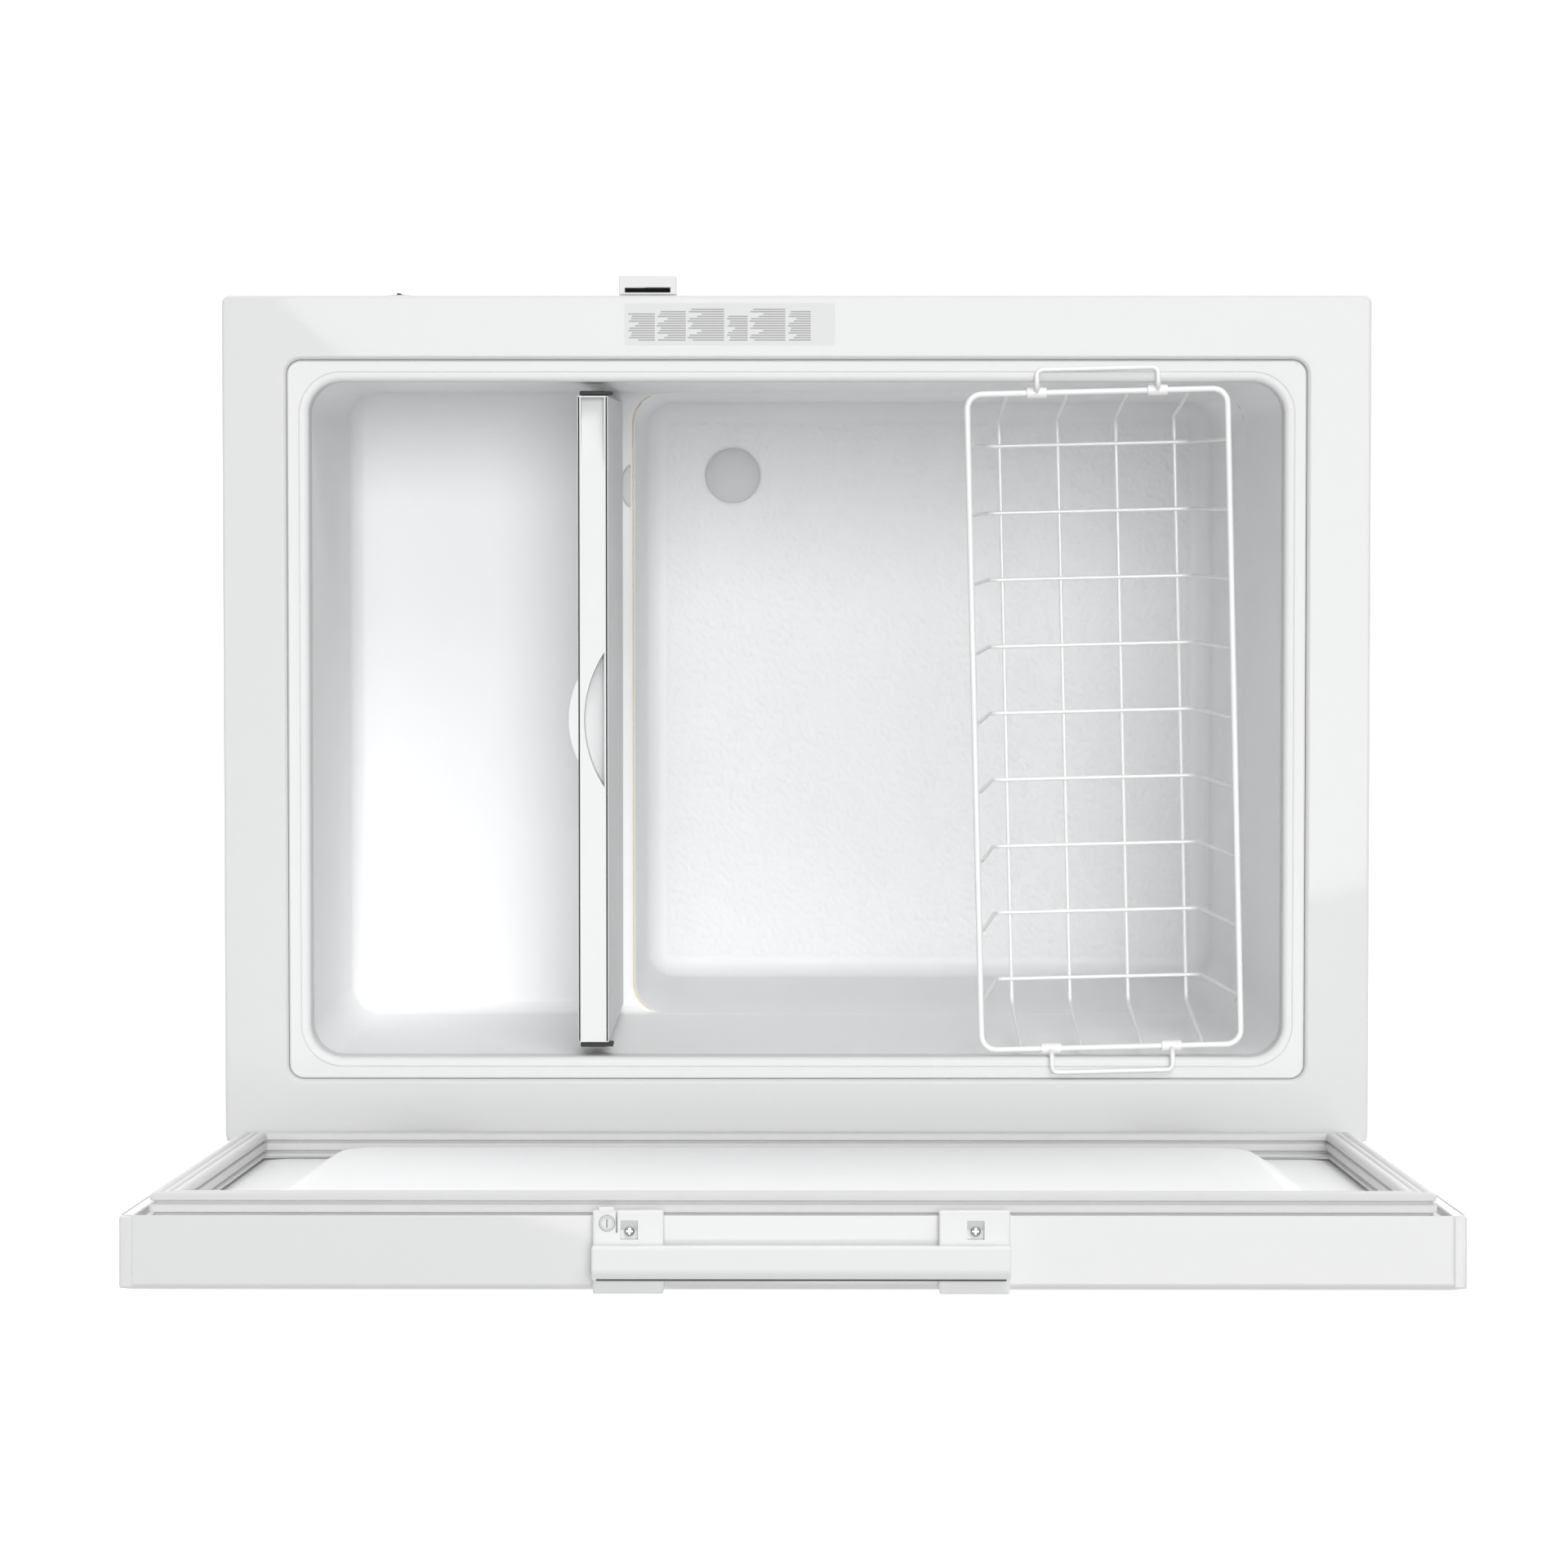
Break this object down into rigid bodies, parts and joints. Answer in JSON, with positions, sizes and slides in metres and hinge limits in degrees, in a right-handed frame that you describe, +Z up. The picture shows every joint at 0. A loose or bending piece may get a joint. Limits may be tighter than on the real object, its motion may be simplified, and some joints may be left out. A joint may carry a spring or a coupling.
{
  "type": "chest freezer",
  "caption": "White chest freezer with its lid standing open on rear hinges, a deep and a stepped compartment, a hanging wire basket and a lift-out divider.",
  "frame": {"origin": "on the floor, under the middle of the freezer box with the lid standing open as stored", "axes": "+Z up, +X to the right seen from the front (the compressor and step side), -Y the front, +Y the hinge side"},
  "size_m": [0.932, 0.7658, 1.592],
  "materials": {
    "white_enamel": "smooth white baked enamel, soft gloss",
    "white_plastic": "moulded white plastic, satin",
    "embossed_liner": "white coated sheet, stucco embossed on the deep floor",
    "gasket_vinyl": "soft light grey vinyl, ribbed",
    "insulation_foam": "rigid polyurethane foam",
    "copper_tube": "drawn copper",
    "galvanised_steel": "galvanised sheet",
    "black_enamel": "black enamel",
    "dark_plastic": "dark moulded plastic",
    "grey_plastic": "light grey moulded plastic",
    "black_rubber": "moulded rubber",
    "coated_wire": "white epoxy coated wire",
    "plated_steel": "zinc plated steel and aluminium",
    "green_lens": "translucent green lens"
  },
  "bodies": {
    "cabinet": {"base_pan": "galvanised_steel", "bay_cover": "galvanised_steel", "breaker_frame": "white_plastic", "capillary_tube": "copper_tube", "compressor_grommet_1": "black_rubber", "compressor_grommet_2": "black_rubber", "compressor_grommet_3": "black_rubber", "compressor_grommet_4": "black_rubber", "compressor_mount": "galvanised_steel", "compressor_shell": "black_enamel", "condenser_coil": "copper_tube", "control_panel": "grey_plastic", "cord_gland": "black_rubber", "discharge_tube": "copper_tube", "drain_pipe": "white_plastic", "drain_spout": "white_plastic", "evaporator_coil": "plated_steel", "filter_drier": "copper_tube", "foot_front_left": "dark_plastic", "foot_front_right": "dark_plastic", "foot_rear_left": "dark_plastic", "foot_rear_right": "dark_plastic", "hinge_leaf_left": "plated_steel", "hinge_leaf_right": "plated_steel", "hinge_pin_left": "plated_steel", "hinge_pin_right": "plated_steel", "inner_liner": "embossed_liner", "insulation_foam": "insulation_foam", "lock_keeper": "grey_plastic", "outer_wrap": "white_enamel", "pilot_lens": "green_lens", "rear_panel": "galvanised_steel", "relay_cover": "dark_plastic", "suction_tube": "copper_tube", "thermostat_body": "grey_plastic", "top_flange": "white_enamel", "vent_grille": "white_plastic"},
    "lid": {"lid_skin": "white_enamel", "lid_liner": "white_plastic", "lid_foam": "insulation_foam", "lid_gasket": "gasket_vinyl", "handle_end_left": "white_plastic", "handle_end_right": "white_plastic", "handle_bar": "white_plastic", "handle_screw_left": "plated_steel", "handle_screw_right": "plated_steel", "lid_leaf_left": "plated_steel", "lid_leaf_right": "plated_steel"},
    "lock": {"lock_barrel": "plated_steel"},
    "basket": {"basket": "coated_wire"},
    "basket_handle_front": {"basket_handle_front": "coated_wire"},
    "basket_handle_rear": {"basket_handle_rear": "coated_wire"},
    "divider": {"divider": "white_plastic", "divider_clip_front": "black_rubber", "divider_clip_rear": "black_rubber"},
    "drain_plug": {"drain_plug": "grey_plastic"},
    "drain_cap": {"drain_cap": "white_plastic"},
    "thermostat_knob": {"thermostat_knob": "dark_plastic"}
  },
  "joints": [
    {"name": "lid_hinge", "type": "hinge", "parent": "cabinet", "child": "lid", "pos_m": [0, 0.33741, 0.862], "axis": [-1, 0, 0], "range_deg": [-87.4, 0]},
    {"name": "lock_turn", "type": "hinge", "parent": "lid", "child": "lock", "pos_m": [0.128, 0.30372, 1.5708], "axis": [0, -0.0454, 0.999], "range_deg": [0, 90]},
    {"name": "basket_lift", "type": "slide", "parent": "cabinet", "child": "basket", "axis": [0, 0, 1], "range_m": [0, 0.26]},
    {"name": "basket_handle_front_swing", "type": "hinge", "parent": "basket", "child": "basket_handle_front", "pos_m": [-0.24349, -0.28101, 0.84], "axis": [-0.9997, -0.0244, 0], "range_deg": [0, 150]},
    {"name": "basket_handle_rear_swing", "type": "hinge", "parent": "basket", "child": "basket_handle_rear", "pos_m": [-0.25651, 0.25183, 0.84], "axis": [0.9997, 0.0244, 0], "range_deg": [0, 150]},
    {"name": "divider_lift", "type": "slide", "parent": "cabinet", "child": "divider", "axis": [0, 0, 1], "range_m": [0, 0.38]},
    {"name": "drain_plug_pull", "type": "slide", "parent": "cabinet", "child": "drain_plug", "axis": [0, 0, 1], "range_m": [0, 0.03]},
    {"name": "drain_cap_pull", "type": "slide", "parent": "cabinet", "child": "drain_cap", "axis": [0, -1, 0], "range_m": [0, 0.02]},
    {"name": "thermostat_turn", "type": "hinge", "parent": "cabinet", "child": "thermostat_knob", "pos_m": [0.373, -0.35859, 0.12], "axis": [0, -1, 0], "range_deg": [0, 270]}
  ]
}
